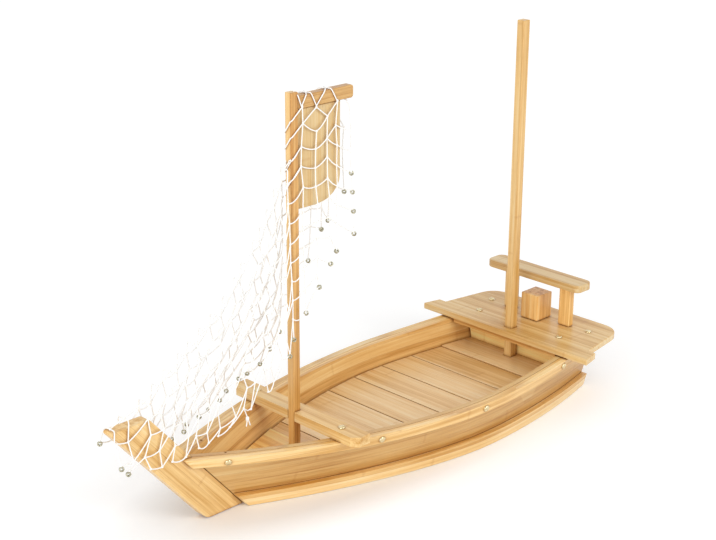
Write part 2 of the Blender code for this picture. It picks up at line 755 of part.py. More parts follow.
def build_net():
    """A grid of cords. The gaps along the fold line span the boom, and the mast stands in one of them."""
    widest = max(BOOM_WIDTH, FORE_MAST_SIDE, STEM_THICKNESS, SAIL_THICKNESS)
    shoulder = widest / 2 + NET_SIDE_CLEARANCE + NET_CORD / 2
    fold, port_edge, starboard_edge = net_lines()
    target = bmesh.new()
    columns = []
    for middle, port, starboard in zip(fold, port_edge, starboard_edge):
        left = flap_column(middle, port, shoulder, NET_PORT_ROWS)
        right = flap_column(middle, starboard, shoulder, NET_STARBOARD_ROWS)
        columns.append(([target.verts.new(p) for p in left], [target.verts.new(p) for p in right]))
    for (left_a, right_a), (left_b, right_b) in zip(columns, columns[1:]):
        target.faces.new((left_a[0], right_a[0], right_b[0], left_b[0]))
        for row in range(NET_PORT_ROWS + 1):
            target.faces.new((left_a[row + 1], left_a[row], left_b[row], left_b[row + 1]))
        for row in range(NET_STARBOARD_ROWS + 1):
            target.faces.new((right_a[row], right_a[row + 1], right_b[row + 1], right_b[row]))
    fore_origin = (FORE_MAST_AT, 0.0, MAST_FOOT)
    net = add_object("drape_net", target, CORD_WHITE, roughness=0.9, origin=fore_origin)
    cords = net.modifiers.new("cords", "WIREFRAME")
    cords.thickness = NET_CORD * MM
    cords.use_even_offset = False
    cords.use_boundary = True
    cords.use_replace = True
    thread_beads(net, port_edge + starboard_edge)


def main():
    clear_scene()
    build_stem()
    rails, planks = build_sides()
    bow_board, stern_board = build_floor()
    deck, bulkhead = build_deck()
    build_gate()
    thwart = build_thwart()
    build_masts()

    cut(bow_board, mast_socket("fore_mast_socket", FORE_MAST_AT, FORE_MAST_SIDE, THWART_BOTTOM))
    aft_socket = mast_socket("aft_mast_socket", AFT_MAST_AT, AFT_MAST_SIDE, DECK_TOP + DECK_THICKNESS)
    cut(stern_board, aft_socket)
    cut(deck, aft_socket)

    for (name, side), rail, plank in zip(SIDES, rails, planks):
        build_nails("rail_nail_" + name, rail_nail_frames(side), RAIL_THICKNESS + NAIL_GRIP, [rail, plank])
    thwart_middle = THWART_FRONT + THWART_WIDTH / 2
    thwart_nails = [frame_on((thwart_middle, side * plank_middle(thwart_middle), THWART_TOP), (0, 0, 1))
                    for _, side in SIDES]
    build_nails("thwart_nail", thwart_nails, THWART_THICKNESS + CLEARANCE + NAIL_GRIP, [thwart] + planks)
    bulkhead_middle = BULKHEAD_FRONT + BULKHEAD_THICKNESS / 2
    deck_nails = []
    back_nail_half = plank_middle(DECK_BACK_NAIL_AT)
    for x, half in ((bulkhead_middle, DECK_FRONT_NAIL_HALF), (DECK_BACK_NAIL_AT, back_nail_half)):
        deck_nails += [frame_on((x, side * half, DECK_TOP), (0, 0, 1)) for _, side in SIDES]
    build_nails("deck_nail", deck_nails, DECK_THICKNESS + CLEARANCE + NAIL_GRIP, [deck, bulkhead] + planks)

    build_net()


main()
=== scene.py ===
"""Looks of the bamboo serving boat: lacquered bamboo boards, brass dome nails and a bead-edged net."""
import json
import math
import random

import bmesh
import bpy
import numpy as np
from mathutils import Matrix, Vector


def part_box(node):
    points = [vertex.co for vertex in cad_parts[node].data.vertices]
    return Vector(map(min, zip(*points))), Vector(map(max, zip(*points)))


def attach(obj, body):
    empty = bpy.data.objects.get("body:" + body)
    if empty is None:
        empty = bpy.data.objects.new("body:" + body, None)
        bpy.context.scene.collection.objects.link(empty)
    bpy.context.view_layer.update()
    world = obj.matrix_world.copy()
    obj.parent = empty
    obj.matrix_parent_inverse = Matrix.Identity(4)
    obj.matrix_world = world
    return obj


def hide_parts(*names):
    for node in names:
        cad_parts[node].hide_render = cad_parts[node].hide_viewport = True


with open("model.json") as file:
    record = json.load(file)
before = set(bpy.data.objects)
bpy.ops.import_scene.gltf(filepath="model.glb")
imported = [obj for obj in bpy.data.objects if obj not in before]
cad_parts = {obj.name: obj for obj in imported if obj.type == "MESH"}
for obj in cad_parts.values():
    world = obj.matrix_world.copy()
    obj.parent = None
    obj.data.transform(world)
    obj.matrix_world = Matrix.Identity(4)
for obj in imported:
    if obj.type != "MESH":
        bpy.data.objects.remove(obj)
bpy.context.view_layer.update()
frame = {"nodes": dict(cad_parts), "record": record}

NODES = frame["nodes"]
MM = 0.001
BODY_OF = {node: body for body, nodes in frame["record"]["behaviour"]["bodies"].items() for node in nodes}
rng = random.Random(7)


# Shader nodes

AO_SAMPLES = 6


class Graph:
    """A material's nodes, with sockets given as values or as outputs of other nodes."""

    def __init__(self, name):
        self.material = bpy.data.materials.new(name)
        self.material.use_nodes = True
        self.tree = self.material.node_tree
        self.shader = self.tree.nodes["Principled BSDF"]

    def put(self, socket, value):
        if isinstance(value, bpy.types.NodeSocket):
            self.tree.links.new(value, socket)
        else:
            socket.default_value = value

    def finish(self, **values):
        for name, value in values.items():
            self.put(self.shader.inputs[name.replace("_", " ")], value)
        return self.material

    def position(self):
        return self.tree.nodes.new("ShaderNodeNewGeometry").outputs["Position"]

    def attribute(self, name):
        node = self.tree.nodes.new("ShaderNodeAttribute")
        node.attribute_name = name
        return node.outputs["Vector"]

    def split(self, vector):
        node = self.tree.nodes.new("ShaderNodeSeparateXYZ")
        self.put(node.inputs[0], vector)
        return node.outputs

    def join(self, x, y, z):
        node = self.tree.nodes.new("ShaderNodeCombineXYZ")
        for socket, value in zip(node.inputs, (x, y, z)):
            self.put(socket, value)
        return node.outputs[0]

    def math(self, operation, *values, clamp=False):
        node = self.tree.nodes.new("ShaderNodeMath")
        node.operation = operation
        node.use_clamp = clamp
        for socket, value in zip(node.inputs, values):
            self.put(socket, value)
        return node.outputs[0]

    def vector(self, operation, *values):
        node = self.tree.nodes.new("ShaderNodeVectorMath")
        node.operation = operation
        for socket, value in zip(node.inputs, values):
            self.put(socket, value)
        return node.outputs[0]

    def length(self, vector):
        node = self.tree.nodes.new("ShaderNodeVectorMath")
        node.operation = "LENGTH"
        self.put(node.inputs[0], vector)
        return node.outputs["Value"]

    def noise(self, vector, scale, detail=2.0, roughness=0.5):
        node = self.tree.nodes.new("ShaderNodeTexNoise")
        self.put(node.inputs["Vector"], self.vector("MULTIPLY", vector, scale))
        node.inputs["Scale"].default_value = 1.0
        node.inputs["Detail"].default_value = detail
        node.inputs["Roughness"].default_value = roughness
        return node.outputs["Fac"]

    def chance(self, vector):
        node = self.tree.nodes.new("ShaderNodeTexWhiteNoise")
        self.put(node.inputs["Vector"], vector)
        return node.outputs["Value"]

    def ramp(self, factor, *stops):
        node = self.tree.nodes.new("ShaderNodeValToRGB")
        points = node.color_ramp.elements
        while len(points) < len(stops):
            points.new(0.5)
        for point, (place, colour) in zip(points, stops):
            point.position = place
            point.color = (*colour, 1.0)
        self.put(node.inputs["Fac"], factor)
        return node.outputs["Color"]

    def span(self, value, low, high, out_low=0.0, out_high=1.0):
        node = self.tree.nodes.new("ShaderNodeMapRange")
        names = ("Value", "From Min", "From Max", "To Min", "To Max")
        for name, number in zip(names, (value, low, high, out_low, out_high)):
            self.put(node.inputs[name], number)
        return node.outputs["Result"]

    def tint(self, factor, colour, by):
        """A colour multiplied by another one, as far as the factor says."""
        node = self.tree.nodes.new("ShaderNodeMix")
        node.data_type = "RGBA"
        node.blend_type = "MULTIPLY"
        self.put(node.inputs["Factor"], factor)
        self.put(node.inputs[6], colour)
        self.put(node.inputs[7], (*by, 1.0))
        return node.outputs[2]

    def crevice_shade(self, distance):
        """Painted shade: how far a point is closed in by what is nearer than a distance."""
        node = self.tree.nodes.new("ShaderNodeAmbientOcclusion")
        node.samples = AO_SAMPLES
        node.inputs["Distance"].default_value = distance
        return self.math("SUBTRACT", 1.0, node.outputs["AO"])

    def bump(self, height, strength, distance):
        node = self.tree.nodes.new("ShaderNodeBump")
        node.inputs["Strength"].default_value = strength
        node.inputs["Distance"].default_value = distance
        self.put(node.inputs["Height"], height)
        return node.outputs["Normal"]


# Camera, floor and light

CAMERA_AT = (-1.0426, -1.0398, 0.7280)
CAMERA_ANGLES = (-44.85, 19.73, 0.34)    # azimuth, elevation and roll in degrees
CAMERA_LENS = 76.77
SENSOR_WIDTH = 36.0
LAMP_AIM = (0.0, 0.0, 0.12)
LAMPS = {"key": ((0.10, -1.95, 1.20), 1.1, 15.5),    # place, size and power
         "fill": ((-2.1, -0.50, 0.65), 1.4, 18.0)}
WORLD_LIGHT = 0.79       # on the object, while the background shows as 1
FLOOR_END = 6.0
FLOOR_LEVEL = -0.0004    # just under the boat's foot
FLOOR_TONE = 0.86
FLOOR_GLOW = 0.22        # where the floor is seen directly; left off under and just around the hull, as a painted shadow
SHADOW_FOOTPRINT = (0.27, 0.09)            # half-axes of an ellipse under the hull, where the glow is left off as a painted shadow
SHADOW_FOOTPRINT_EDGE = (0.85, 1.3)        # shares of it between which the glow comes up, the painted shadow's soft edge
FAR_GLOW = 0.13          # what the distance adds
FAR_REACH = (0.4, 2.2)


def add_camera():
    azimuth, elevation, roll = (math.radians(a) for a in CAMERA_ANGLES)
    back = Vector((math.sin(azimuth) * math.cos(elevation), -math.cos(azimuth) * math.cos(elevation),
                   math.sin(elevation)))
    level = Vector((math.cos(azimuth), math.sin(azimuth), 0.0))
    over = back.cross(level)
    right = level * math.cos(roll) + over * math.sin(roll)
    up = over * math.cos(roll) - level * math.sin(roll)
    lens = bpy.data.cameras.new("camera")
    lens.lens = CAMERA_LENS
    lens.sensor_width = SENSOR_WIDTH
    lens.sensor_fit = "HORIZONTAL"
    camera = bpy.data.objects.new("camera", lens)
    turn = Matrix((right, up, back)).transposed().to_4x4()
    camera.matrix_world = Matrix.Translation(CAMERA_AT) @ turn
    bpy.context.collection.objects.link(camera)
    bpy.context.scene.camera = camera


def add_lamp(name, place, size, energy):
    lamp = bpy.data.lights.new(name, "AREA")
    lamp.shape = "DISK"
    lamp.size = size
    lamp.energy = energy
    item = bpy.data.objects.new(name, lamp)
    item.location = place
    item.rotation_euler = (Vector(LAMP_AIM) - item.location).to_track_quat("-Z", "Y").to_euler()
    bpy.context.collection.objects.link(item)


def seen_directly(tree):
    """1 for rays that show a background: from the camera, in a reflection or through something clear."""
    path = tree.nodes.new("ShaderNodeLightPath")
    total = path.outputs["Is Camera Ray"]
    for name in ("Is Glossy Ray", "Is Transmission Ray"):
        most = tree.nodes.new("ShaderNodeMath")
        most.operation = "MAXIMUM"
        tree.links.new(total, most.inputs[0])
        tree.links.new(path.outputs[name], most.inputs[1])
        total = most.outputs[0]
    return total


def add_world():
    world = bpy.data.worlds.new("studio")
    world.use_nodes = True
    bpy.context.scene.world = world
    tree = world.node_tree
    level = tree.nodes.new("ShaderNodeMapRange")
    level.inputs["To Min"].default_value = WORLD_LIGHT
    level.inputs["To Max"].default_value = 1.0
    tree.links.new(seen_directly(tree), level.inputs["Value"])
    sky = tree.nodes["Background"]
    sky.inputs["Color"].default_value = (1.0, 1.0, 1.0, 1.0)
    tree.links.new(level.outputs["Result"], sky.inputs["Strength"])


def add_floor():
    mesh = bpy.data.meshes.new("floor")
    corners = ((-1, -1), (1, -1), (1, 1), (-1, 1))
    mesh.from_pydata([(x * FLOOR_END, y * FLOOR_END, FLOOR_LEVEL) for x, y in corners], [], [(0, 1, 2, 3)])
    floor = bpy.data.objects.new("floor", mesh)
    bpy.context.collection.objects.link(floor)
    g = Graph("floor_white")
    place = g.position()
    # painted shadow: the glow is left off under the hull and fades in just outside it, so the floor there
    # stays darker
    under_hull = g.length(g.vector("MULTIPLY", place, (1 / SHADOW_FOOTPRINT[0], 1 / SHADOW_FOOTPRINT[1], 0.0)))
    near = g.span(under_hull, *SHADOW_FOOTPRINT_EDGE, 0.0, FLOOR_GLOW)
    far = g.span(g.length(place), *FAR_REACH, 0.0, FAR_GLOW)
    glow = g.math("MULTIPLY", g.math("ADD", near, far), seen_directly(g.tree))
    tone = (FLOOR_TONE, FLOOR_TONE, FLOOR_TONE, 1.0)
    mesh.materials.append(g.finish(Base_Color=tone, Roughness=0.9, Specular_IOR_Level=0.0,
                                   Emission_Color=(1.0, 1.0, 1.0, 1.0), Emission_Strength=glow))


bpy.context.scene.view_settings.view_transform = "Standard"
add_camera()
add_world()
add_floor()
for lamp_name, lamp_values in LAMPS.items():
    add_lamp(lamp_name, *lamp_values)


# Materials

BAMBOO_LAYER = 0.0075    # thickness of a laminated layer
KNUCKLE_PITCH = 0.262    # between the joints of a stalk
SEAM_EDGE, SEAM_CORE = 0.00032, 0.00010    # from the middle of a glue seam


def bamboo(name, tones, strip, seed, contrast, shade_reach):
    """Lacquered laminated bamboo. The grain attribute gives metres along, across and through a board."""
    g = Graph(name)
    shift = (seed * 1.37, seed * 0.71, seed * 0.43)
    grain = g.vector("ADD", g.attribute("grain"), shift)
    along, across, through = g.split(grain)
    row = g.math("FLOOR", g.math("DIVIDE", across, strip))
    layer = g.math("FLOOR", g.math("DIVIDE", through, BAMBOO_LAYER))
    lot = g.chance(g.join(row, layer, seed))    # each strip's own tone
    fibre = g.noise(grain, (16.0, 950.0, 950.0), 3.0, 0.6)
    streak = g.noise(grain, (5.0, 210.0, 210.0), 3.0, 0.55)
    cloud = g.noise(grain, (7.0, 24.0, 24.0), 2.0)
    tone = g.math("MULTIPLY", g.math("SUBTRACT", fibre, 0.5), 0.55 * contrast)
    tone = g.math("MULTIPLY_ADD", g.math("SUBTRACT", streak, 0.5), 0.95 * contrast, tone)
    tone = g.math("MULTIPLY_ADD", g.math("SUBTRACT", cloud, 0.5), 0.55 * contrast, tone)
    tone = g.math("MULTIPLY_ADD", g.math("SUBTRACT", lot, 0.5), 0.42, tone)
    tone = g.math("ADD", tone, 0.5, clamp=True)
    colour = g.ramp(tone, (0.08, tones[0]), (0.5, tones[1]), (0.92, tones[2]))
    # short dark pores, thin glue seams between strips, and faint bands across the stalks
    pores = g.span(g.noise(grain, (110.0, 2600.0, 2600.0), 1.0), 0.60, 0.74)
    colour = g.tint(g.math("MULTIPLY", pores, 0.35), colour, (0.66, 0.52, 0.38))
    strip_share = g.math("FRACT", g.math("DIVIDE", across, strip))
    from_middle = g.math("ABSOLUTE", g.math("SUBTRACT", strip_share, 0.5))
    seam = g.span(from_middle, 0.5 - SEAM_EDGE / strip, 0.5 - SEAM_CORE / strip)
    colour = g.tint(g.math("MULTIPLY", seam, 0.42), colour, (0.60, 0.42, 0.26))
    stalk = g.math("ADD", g.math("DIVIDE", along, KNUCKLE_PITCH), g.math("MULTIPLY", lot, 7.0))
    from_knuckle = g.math("ABSOLUTE", g.math("SUBTRACT", g.math("FRACT", stalk), 0.5))
    wander = g.math("MULTIPLY", g.math("SUBTRACT", streak, 0.5), 0.012)
    knuckle = g.span(g.math("ADD", from_knuckle, wander), 0.0085, 0.0015)
    colour = g.tint(g.math("MULTIPLY", knuckle, 0.26), colour, (0.70, 0.50, 0.30))
    if shade_reach:    # painted shade: darker where another board comes near, in joints, corners and under ledges, where shade falls
        shade = g.math("MULTIPLY", g.crevice_shade(shade_reach), 1.3, clamp=True)
        colour = g.tint(shade, colour, (0.50, 0.31, 0.13))
    height = g.math("MULTIPLY_ADD", fibre, 0.5, g.math("MULTIPLY", pores, -0.5))
    height = g.math("MULTIPLY_ADD", seam, -1.4, g.math("MULTIPLY_ADD", knuckle, 0.6, height))
    return g.finish(Base_Color=colour, Roughness=g.span(fibre, 0.2, 0.8, 0.34, 0.5),
                    Coat_Weight=0.35, Coat_Roughness=0.22, Normal=g.bump(height, 0.35, 0.00022))


def brass():
    g = Graph("brass_polished")
    place = g.attribute("grain")
    haze = g.noise(place, (420.0, 420.0, 420.0), 3.0)
    turned = g.noise(place, (2600.0, 2600.0, 2600.0), 2.0)
    colour = g.ramp(haze, (0.3, (0.60, 0.47, 0.24)), (0.55, (0.76, 0.64, 0.39)),
                    (0.8, (0.86, 0.77, 0.55)))
    return g.finish(Base_Color=colour, Metallic=1.0, Roughness=g.span(haze, 0.3, 0.75, 0.16, 0.38),
                    Normal=g.bump(turned, 0.12, 0.00008))


def cotton():
    """Twisted white cord. The grain attribute gives turns round the cord and metres along it."""
    g = Graph("cord_cotton")
    turn, along, _ = g.split(g.attribute("grain"))
    ply = g.math("FRACT", g.math("MULTIPLY_ADD", along, 420.0, g.math("MULTIPLY", turn, 3.0)))
    crown = g.math("SINE", g.math("MULTIPLY", ply, math.pi))
    fuzz = g.noise(g.join(turn, g.math("MULTIPLY", along, 900.0), 0.0), (5.0, 1.0, 1.0), 3.0)
    # painted shade: the grooves between the plies are coloured darker than their crowns
    colour = g.ramp(crown, (0.0, (0.84, 0.825, 0.79)), (0.5, (0.915, 0.905, 0.875)),
                    (1.0, (0.94, 0.93, 0.905)))
    return g.finish(Base_Color=colour, Roughness=g.span(fuzz, 0.3, 0.7, 0.75, 0.95), Sheen_Weight=0.25,
                    Normal=g.bump(g.math("MULTIPLY_ADD", fuzz, 0.35, crown), 0.5, 0.0002))


def bead_finish():
    g = Graph("bead_metal")
    place = g.attribute("grain")
    haze = g.noise(place, (500.0, 500.0, 500.0), 3.0)
    colour = g.ramp(haze, (0.3, (0.26, 0.24, 0.16)), (0.55, (0.46, 0.44, 0.33)),
                    (0.8, (0.66, 0.64, 0.54)))
    return g.finish(Base_Color=colour, Metallic=1.0, Roughness=g.span(haze, 0.3, 0.75, 0.18, 0.36),
                    Normal=g.bump(haze, 0.15, 0.0001))


# Boards and nails

WELD = 2e-6              # corners nearer than this are one
FLAT_ANGLE = math.radians(0.8)      # faces that meet flatter are one face
ROUNDED_ANGLE = math.radians(28)    # edges that are sharper get rounded
SHADING_ANGLE = math.radians(38)
STEM_RAKE = 0.865        # run forward per rise
HULL_REACH, HULL_RISE = 0.3, 0.07    # lengths that the side's middle surface is fitted in
DOME_SIDES = 28
DOME_STEPS = 9
DOME_POWER = 0.85        # under 1 makes the dome fuller
DOME_SHADING = math.radians(50)
LIP_FOOT, LIP_TOP = -0.00018, 0.00008    # the head's rim, from the board's face
LIP_SHARE = 0.93         # its lower edge as a share of the head's radius
SHANK_RADIUS = 0.0011
SHANK_FOOT = -0.002      # only a stub, hidden in the board


def add_piece(name, mesh, node, *replaced):
    """A new object that rides with a CAD node's body; the nodes that it replaces are hidden."""
    item = bpy.data.objects.new(name, mesh)
    bpy.context.collection.objects.link(item)
    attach(item, BODY_OF[node])
    if replaced:
        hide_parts(*replaced)
    return item


def set_grain(mesh, values):
    layer = mesh.attributes.new("grain", "FLOAT_VECTOR", "POINT")
    layer.data.foreach_set("vector", np.asarray(values, dtype=np.float32).ravel())


def points_of(mesh):
    flat = np.empty(len(mesh.vertices) * 3)
    mesh.vertices.foreach_get("co", flat)
    return flat.reshape(-1, 3)


class Nail:
    """Where a CAD nail stands: the foot of its head and the direction out of the board."""

    def __init__(self, node):
        points = points_of(NODES[node].data)
        middle = points.mean(axis=0)
        axis = np.linalg.svd(points - middle)[2][0]
        rise = (points - middle) @ axis
        spread = np.linalg.norm(points - middle - np.outer(rise, axis), axis=1)
        head = rise[spread > 0.9 * spread.max()]
        if head.mean() < 0.0:
            axis, rise, head = -axis, -rise, -head
        self.axis = Vector(axis)
        self.radius = spread.max()
        self.foot = Vector(middle) + self.axis * head.min()
        self.height = rise.max() - head.min()

    def near(self, point):
        away = point - self.foot
        return (away - self.axis * away.dot(self.axis)).length < 0.6 * self.radius


NAILS = {node: Nail(node) for node in NODES if "_nail_" in node}


def along_axes(first, second, third):
    """Grain of a straight board: which axes run along, across and through it."""
    return lambda points: points[:, (first, second, third)]


def along_rake(points):
    """Grain of the stem board, along its slope."""
    slope = Vector((-STEM_RAKE, 0.0, 1.0)).normalized()
    run = points[:, 0] * slope.x + points[:, 2] * slope.z
    cross = points[:, 0] * slope.z - points[:, 2] * slope.x
    return np.column_stack((run, cross, points[:, 1]))


def along_hull(points):
    """Grain of a strip that follows the side: along the hull, up it, and out from its middle surface."""
    x = points[:, 0] / HULL_REACH
    z = points[:, 2] / HULL_RISE
    terms = [x ** i * z ** j for i in range(6) for j in range(2)]
    basis = np.column_stack(terms)
    reach = np.abs(points[:, 1])
    fit = basis @ np.linalg.lstsq(basis, reach, rcond=None)[0]
    return np.column_stack((points[:, 0], points[:, 2], reach - fit))


def rounded_copy(node, width):
    """The CAD node's shape with its sharp edges rounded, apart from hidden nail holes."""
    shape = bmesh.new()
    shape.from_mesh(NODES[node].data)
    bmesh.ops.remove_doubles(shape, verts=shape.verts, dist=WELD)
    bmesh.ops.dissolve_limit(shape, angle_limit=FLAT_ANGLE, verts=shape.verts, edges=shape.edges)
    edges = []
    for edge in shape.edges:
        if len(edge.link_faces) != 2 or edge.calc_face_angle() < ROUNDED_ANGLE:
            continue
        ends = [vert.co for vert in edge.verts]
        if not any(nail.near(ends[0]) and nail.near(ends[1]) for nail in NAILS.values()):
            edges.append(edge)
    bmesh.ops.bevel(shape, geom=edges, offset=width, offset_type="OFFSET", segments=3, profile=0.55,
                    affect="EDGES", clamp_overlap=True)
    mesh = bpy.data.meshes.new(node + "_board")
    shape.to_mesh(mesh)
    shape.free()
    mesh.shade_smooth()
    mesh.set_sharp_from_angle(angle=SHADING_ANGLE)
    return mesh


def add_board(node, grain, material, width):
    mesh = rounded_copy(node, width * MM)
    set_grain(mesh, grain(points_of(mesh)))
    mesh.materials.append(material)
    board = add_piece(node + "_board", mesh, node, node)
    board.modifiers.new("even_shading", "WEIGHTED_NORMAL").keep_sharp = True


# Dark, middle and pale tone of each kind of board
PALE = ((0.55, 0.275, 0.050), (0.780, 0.515, 0.205), (0.845, 0.655, 0.360))
WARM = ((0.48, 0.208, 0.032), (0.735, 0.430, 0.140), (0.830, 0.575, 0.250))
FLOOR = ((0.52, 0.255, 0.055), (0.755, 0.480, 0.205), (0.835, 0.620, 0.340))
BRIGHTEST = 0.95         # the most that a board's factor for painted light and shade, on its tones, may give
USUAL_CONTRAST = 1.2
CONTRAST = {"cabin_block": 1.9, "boom": 1.7, "stern_deck": 1.3}
# Factors on a board's tones, mostly painted light and shade: boards that lie in shade, such as the bow
# floor, the bulkhead, the cabin and the chine ledge, are made paler, and the lamp-lit port plank and the
# gate bar darker; for the sail, boom and deck they give the board's own tone.
PAINTED_LIGHT_FACTOR = {"side_plank_port": 0.84, "side_plank_starboard": 1.02, "bow_floor_board": 1.42,
           "gate_bar": 0.82, "stern_bulkhead": 1.40, "sail_panel": 0.83, "boom": 0.86,
           "cabin_block": 1.15, "gate_post_port": 1.20, "rail_strip_port": 1.12, "fore_thwart": 1.01,
           "chine_strip_port": 1.08, "stern_deck": 0.93, "stem_board": 1.04}
USUAL_SHADE_REACH = 0.0035    # how near another board has to be to paint shade on this one, or 0 for not at all
# less painted shade on the port plank, and none on the chine strips, so that their ledge stays pale
SHADE_REACH = {"side_plank_port": 0.0018, "chine_strip_port": 0.0, "chine_strip_starboard": 0.0}

X, Y, Z = 0, 1, 2
# Node, grain, tones, width of the laminated strips in metres, rounding of the edges in mm
BOARDS = [
    ("stem_board", along_rake, PALE, 0.0125, 1.0),
    ("stern_deck", along_axes(Y, X, Z), PALE, 0.024, 1.2),
    ("stern_bulkhead", along_axes(Y, Z, X), WARM, 0.021, 0.7),
    ("deck_batten", along_axes(Y, Z, X), WARM, 0.02, 0.6),
    ("gate_post_port", along_axes(Z, Y, X), PALE, 0.02, 0.8),
    ("gate_post_starboard", along_axes(Z, Y, X), PALE, 0.02, 0.8),
    ("gate_bar", along_axes(Y, X, Z), PALE, 0.0145, 1.2),
    ("cabin_block", along_axes(Z, Y, X), WARM, 0.0061, 1.0),
    ("fore_thwart", along_axes(Y, X, Z), PALE, 0.03, 1.2),
    ("fore_mast", along_axes(Z, X, Y), WARM, 0.03, 0.9),
    ("boom", along_axes(X, Z, Y), WARM, 0.03, 1.0),
    ("sail_panel", along_axes(Z, X, Y), PALE, 0.0195, 0.9),
    ("aft_mast", along_axes(Z, X, Y), PALE, 0.03, 0.9),
    ("bow_floor_board", along_axes(Y, X, Z), WARM, 0.022, 0.7),
    ("stern_floor_board", along_axes(Y, X, Z), FLOOR, 0.022, 0.7),
]
BOARDS += [(f"floor_plank_{i}", along_axes(Y, X, Z), FLOOR, 0.0215, 0.35) for i in range(1, 8)]
for side in ("port", "starboard"):
    BOARDS += [("side_plank_" + side, along_hull, WARM, 0.0122, 0.45),
               ("rail_strip_" + side, along_hull, PALE, 0.02, 0.6),
               ("chine_strip_" + side, along_hull, PALE, 0.02, 0.6),
               ("floor_bearer_" + side, along_axes(X, Y, Z), WARM, 0.02, 0.8)]

for seed, (node, grain, tones, strip, width) in enumerate(BOARDS, 1):
    # the board's factor for painted light and shade, and for its own tone
    painted_light = PAINTED_LIGHT_FACTOR.get(node, 1.0)
    tones = [[min(BRIGHTEST, channel * painted_light) for channel in tone] for tone in tones]
    finish = bamboo("bamboo_" + node, tones, strip, seed, CONTRAST.get(node, USUAL_CONTRAST),
                    SHADE_REACH.get(node, USUAL_SHADE_REACH))
    add_board(node, grain, finish, width)


def lathe(profile, sides):
    """A closed solid of revolution about z: radius and height from the lower pole to the upper one."""
    shape = bmesh.new()
    rings = []
    for radius, height in profile:
        if radius == 0.0:
            rings.append([shape.verts.new((0.0, 0.0, height))])
        else:
            turns = [2 * math.pi * i / sides for i in range(sides)]
            rings.append([shape.verts.new((radius * math.cos(t), radius * math.sin(t), height))
                          for t in turns])
    for low, high in zip(rings, rings[1:]):
        for i in range(sides):
            j = (i + 1) % sides
            ring = [low[i % len(low)], low[j % len(low)], high[j % len(high)], high[i % len(high)]]
            shape.faces.new(list(dict.fromkeys(ring)))
    return shape


def add_nails():
    finish = brass()
    for node, nail in NAILS.items():
        profile = [(0.0, SHANK_FOOT), (SHANK_RADIUS, SHANK_FOOT), (SHANK_RADIUS, LIP_FOOT),
                   (nail.radius * LIP_SHARE, LIP_FOOT), (nail.radius, LIP_TOP)]
        for step in range(1, DOME_STEPS):
            turn = math.pi / 2 * step / DOME_STEPS
            profile.append((nail.radius * math.cos(turn) ** DOME_POWER, nail.height * math.sin(turn)))
        profile.append((0.0, nail.height))
        shape = lathe(profile, DOME_SIDES)
        upright = nail.axis.to_track_quat("Z", "Y").to_matrix().to_4x4()
        shape.transform(Matrix.Translation(nail.foot) @ upright)
        mesh = bpy.data.meshes.new(node + "_dome")
        shape.to_mesh(mesh)
        shape.free()
        mesh.shade_smooth()
        mesh.set_sharp_from_angle(angle=DOME_SHADING)
        set_grain(mesh, points_of(mesh))
        mesh.materials.append(finish)
        add_piece(node + "_dome", mesh, node, node)


add_nails()


# Net, in millimetres

CELL = 19.5
CORD = 0.64              # radius
HANG_GAP = 0.35          # between a cord and what it lies on
FREE_COLUMNS = 17
RIDGE_ROW = 2            # the row of knots that runs into the ridge
BEAD = 2.6               # outer radius
BEAD_RIM = 0.68          # shares of it: the ring's radius, half its wall and half its depth
BEAD_WALL = 0.32
BEAD_DEPTH = 0.7
BEAD_AROUND, BEAD_SECTION = 16, 10
PORT_HANG = -10.5        # where the near flap's edge hangs, from the middle of the boat
BARE_EDGE = (-300, -128)    # part of the near flap's edge without beads
TIE_AT = -172            # the knot with two loose ends
LOOSE = 1.5              # how far a knot strays
FLARE, SAIL_FLARE = 1.3, 2.2    # powers by which a flap leaves the upright
SHOULDER = 1.2           # rounding of a cord's way over a fold
FIRM_KNOTS, FIRM_CORDS = 0.6, 0.8    # cells from the fold within which knots don't stray or cords droop
UNEVEN = 0.22            # how far a free column strays, in columns
FIRST_SHARE = 0.025      # where the first free column stands on the ridge
STAGGER = 0.42           # how far every other free column's rows start lower, in cells
FREE_SAG = 7.0           # of the far flap
ZIGZAG = 2.6             # of the free columns
SLACK, MAST_SLACK = 0.06, 0.22    # droop of the cords between columns, in cells
EDGE_DROOP = (0.16, 0.26)         # and of those along the flaps' edges
BEAD_KNOT, TIE_KNOT = 0.9, 1.7    # sizes, where a plain knot is 1
MAST_TURNS = 4           # cords that go round the front of the mast
FOLD_KNOTS = (-96.5, -80.4, -54.3)    # x of the zigzag's turns on the middle of the boom's top
FLAP_STEPS = 24
CORD_STEPS = 8
CORD_SHADING = math.radians(70)
KNOT_SHAPE = ((-1.35, 0.45), (-0.95, 0.92), (-0.45, 1.12), (0.0, 1.02), (0.45, 1.14), (0.95, 0.90),
              (1.35, 0.45))    # places along a knot and radii there


def box_mm(node):
    low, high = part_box(node)
    return np.array(low) / MM, np.array(high) / MM


SOLIDS = {node: box_mm(node) for node in ("boom", "fore_mast", "sail_panel", "fore_thwart")}
BOOM_TOP = SOLIDS["boom"][1][2]
BOOM_FOOT = SOLIDS["boom"][0][2]
MAST_FRONT = SOLIDS["fore_mast"][0][0]
WOOD_HALF = SOLIDS["fore_mast"][1][1]
BESIDE_WOOD = WOOD_HALF + HANG_GAP + CORD
STEM_TOP = box_mm("stem_board")[1][2]
STEM_HALF = box_mm("stem_board")[1][1]
STEM_TIP = box_mm("stem_board")[0][0] + 2.9
STEM_FOOT, STEM_WIDTH = -219.1, 45.5    # its front at z = 0, and its width along x

